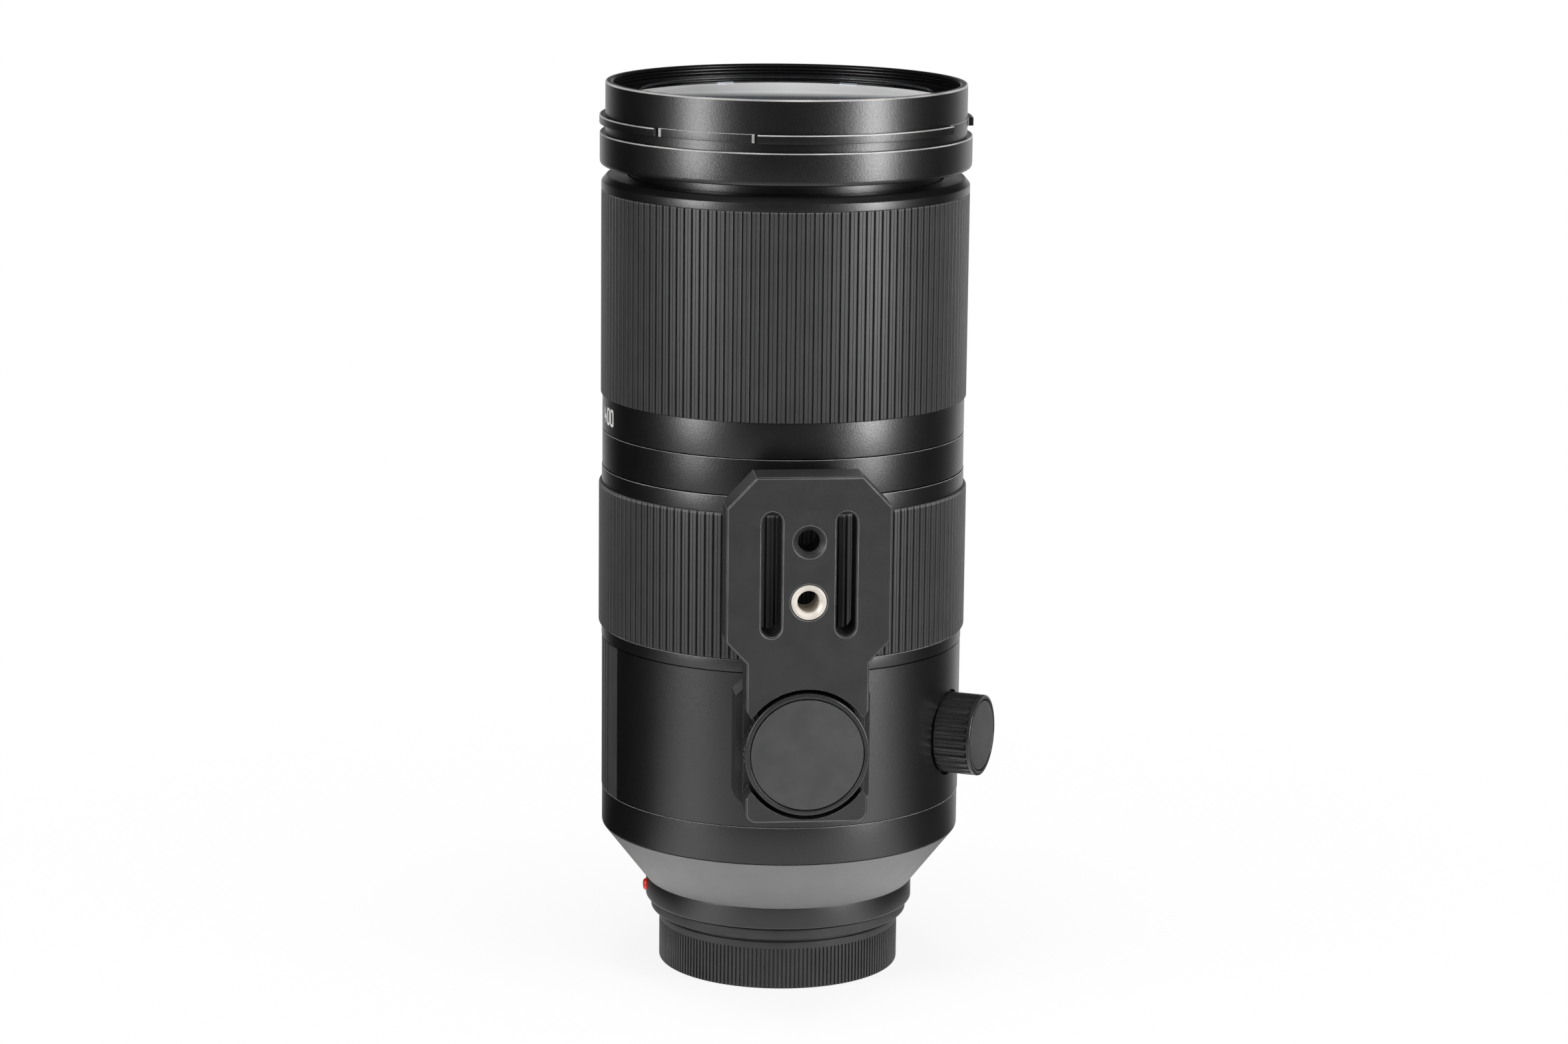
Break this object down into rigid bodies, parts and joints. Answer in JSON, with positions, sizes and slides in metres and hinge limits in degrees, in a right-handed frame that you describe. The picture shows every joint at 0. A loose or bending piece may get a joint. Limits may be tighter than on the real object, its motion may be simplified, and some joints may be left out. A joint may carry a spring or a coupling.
{
  "type": "camera zoom lens",
  "caption": "Telephoto zoom lens standing on its rear cap, with ribbed zoom and focus rings and a tripod collar that carries a keyhole-shaped foot.",
  "frame": {"origin": "centre of the rear cap's resting face, on the optical axis", "axes": "+Z along the optical axis towards the front glass, -Y towards the tripod foot"},
  "size_m": [0.0941, 0.1035, 0.2139],
  "materials": {
    "black_aluminium": "fine satin black anodised",
    "black_foot": "fine bead-blasted black anodised",
    "grip_rubber": "matt ribbed rubber",
    "cap_plastic": "satin moulded",
    "inner_plastic": "matt moulded",
    "knob_metal": "gloss black",
    "inlay_metal": "satin black",
    "mount_steel": "fine turned steel",
    "screw_steel": "bright zinc",
    "bush_nickel": "bright nickel plated",
    "contact_gold": "gold plated",
    "index_red": "gloss enamel",
    "coated_glass": "coated",
    "board_green": "solder mask",
    "felt": "felt",
    "copper_coil": "enamelled wire"
  },
  "bodies": {
    "barrel": {"bayonet_flange": "mount_steel", "flange_screws": "screw_steel", "mount_ring": "black_aluminium", "index_dot": "index_red", "rear_baffle": "inner_plastic", "contact_block": "inner_plastic", "contact_pins": "contact_gold", "rear_cone": "black_aluminium", "rear_ring": "black_aluminium", "guide_tube": "black_aluminium", "spacer_ring": "black_aluminium", "index_ring": "black_aluminium", "front_seal": "felt", "focus_sensor": "inner_plastic", "circuit_board": "board_green", "board_chips": "inner_plastic", "rear_cell": "black_aluminium", "rear_element": "coated_glass", "focus_rods": "mount_steel", "rod_frame": "inner_plastic", "motor_magnets": "screw_steel"},
    "cap": {"rear_cap": "cap_plastic"},
    "focus_group": {"focus_carriage": "inner_plastic", "focus_element": "coated_glass", "motor_coils": "copper_coil"},
    "zoom_group": {"variator_frame": "black_aluminium", "variator_rollers": "contact_gold", "variator_rear_element": "coated_glass", "variator_front_element": "coated_glass", "iris_case": "inner_plastic", "iris_blades": "screw_steel"},
    "zoom_ring": {"cam_barrel": "black_aluminium", "drive_key": "mount_steel", "zoom_sleeve": "black_aluminium", "zoom_rubber": "grip_rubber"},
    "front_barrel": {"front_tube": "black_aluminium", "cam_rollers": "contact_gold", "front_doublet": "coated_glass", "element_spacer": "black_aluminium", "front_element": "coated_glass", "hood_ring": "black_aluminium", "name_ring": "black_aluminium"},
    "focus_ring": {"focus_sleeve": "black_aluminium", "code_ring": "screw_steel", "focus_rubber": "grip_rubber"},
    "tripod_collar": {"collar_ring": "black_aluminium", "collar_grip": "grip_rubber", "foot_plate": "black_foot", "thread_bush": "bush_nickel"},
    "clamp_screw": {"clamp_screw": "screw_steel"},
    "clamp_knob": {"clamp_knob": "knob_metal", "clamp_inlay": "inlay_metal"},
    "lock_screw": {"lock_screw": "screw_steel", "brake_shoe": "contact_gold"},
    "lock_knob": {"lock_knob": "knob_metal", "lock_inlay": "inlay_metal"}
  },
  "joints": [
    {"name": "zoom_turn", "type": "hinge", "parent": "barrel", "child": "zoom_ring", "pos_m": [0, 0, 0.16], "axis": [0, 0, -1], "range_deg": [0, 100]},
    {"name": "front_extend", "type": "slide", "parent": "barrel", "child": "front_barrel", "axis": [0, 0, 1], "range_m": [0, 0.064]},
    {"name": "zoom_group_travel", "type": "slide", "parent": "barrel", "child": "zoom_group", "axis": [0, 0, 1], "range_m": [0, 0.02]},
    {"name": "focus_turn", "type": "hinge", "parent": "barrel", "child": "focus_ring", "pos_m": [0, 0, 0.1], "axis": [0, 0, 1], "continuous": true},
    {"name": "focus_group_travel", "type": "slide", "parent": "barrel", "child": "focus_group", "axis": [0, 0, 1], "range_m": [0, 0.012]},
    {"name": "collar_turn", "type": "hinge", "parent": "barrel", "child": "tripod_collar", "pos_m": [0, 0, 0.062], "axis": [0, 0, 1], "continuous": true},
    {"name": "clamp_feed", "type": "slide", "parent": "tripod_collar", "child": "clamp_screw", "axis": [0, -1, 0], "range_m": [0, 0.003]},
    {"name": "clamp_turn", "type": "hinge", "parent": "clamp_screw", "child": "clamp_knob", "pos_m": [0, -0.059, 0.0655], "axis": [0, -1, 0], "range_deg": [0, 1080]},
    {"name": "lock_feed", "type": "slide", "parent": "tripod_collar", "child": "lock_screw", "axis": [-0.891, 0.454, 0], "range_m": [0, 0.00025]},
    {"name": "lock_turn", "type": "hinge", "parent": "lock_screw", "child": "lock_knob", "pos_m": [0.04455, -0.0227, 0.0603], "axis": [-0.891, 0.454, 0], "range_deg": [0, 180]},
    {"name": "cap_twist", "type": "hinge", "parent": "barrel", "child": "cap", "pos_m": [0, 0, 0.01], "axis": [0, 0, 1], "range_deg": [-45, 0]}
  ],
  "couplings": [
    {"joint": "front_extend", "follows": "zoom_turn", "m_per_rad": 0.036669},
    {"joint": "zoom_group_travel", "follows": "zoom_turn", "m_per_rad": 0.011459},
    {"joint": "clamp_feed", "follows": "clamp_turn", "m_per_rad": 0.00015915},
    {"joint": "lock_feed", "follows": "lock_turn", "m_per_rad": 0.000079577}
  ]
}
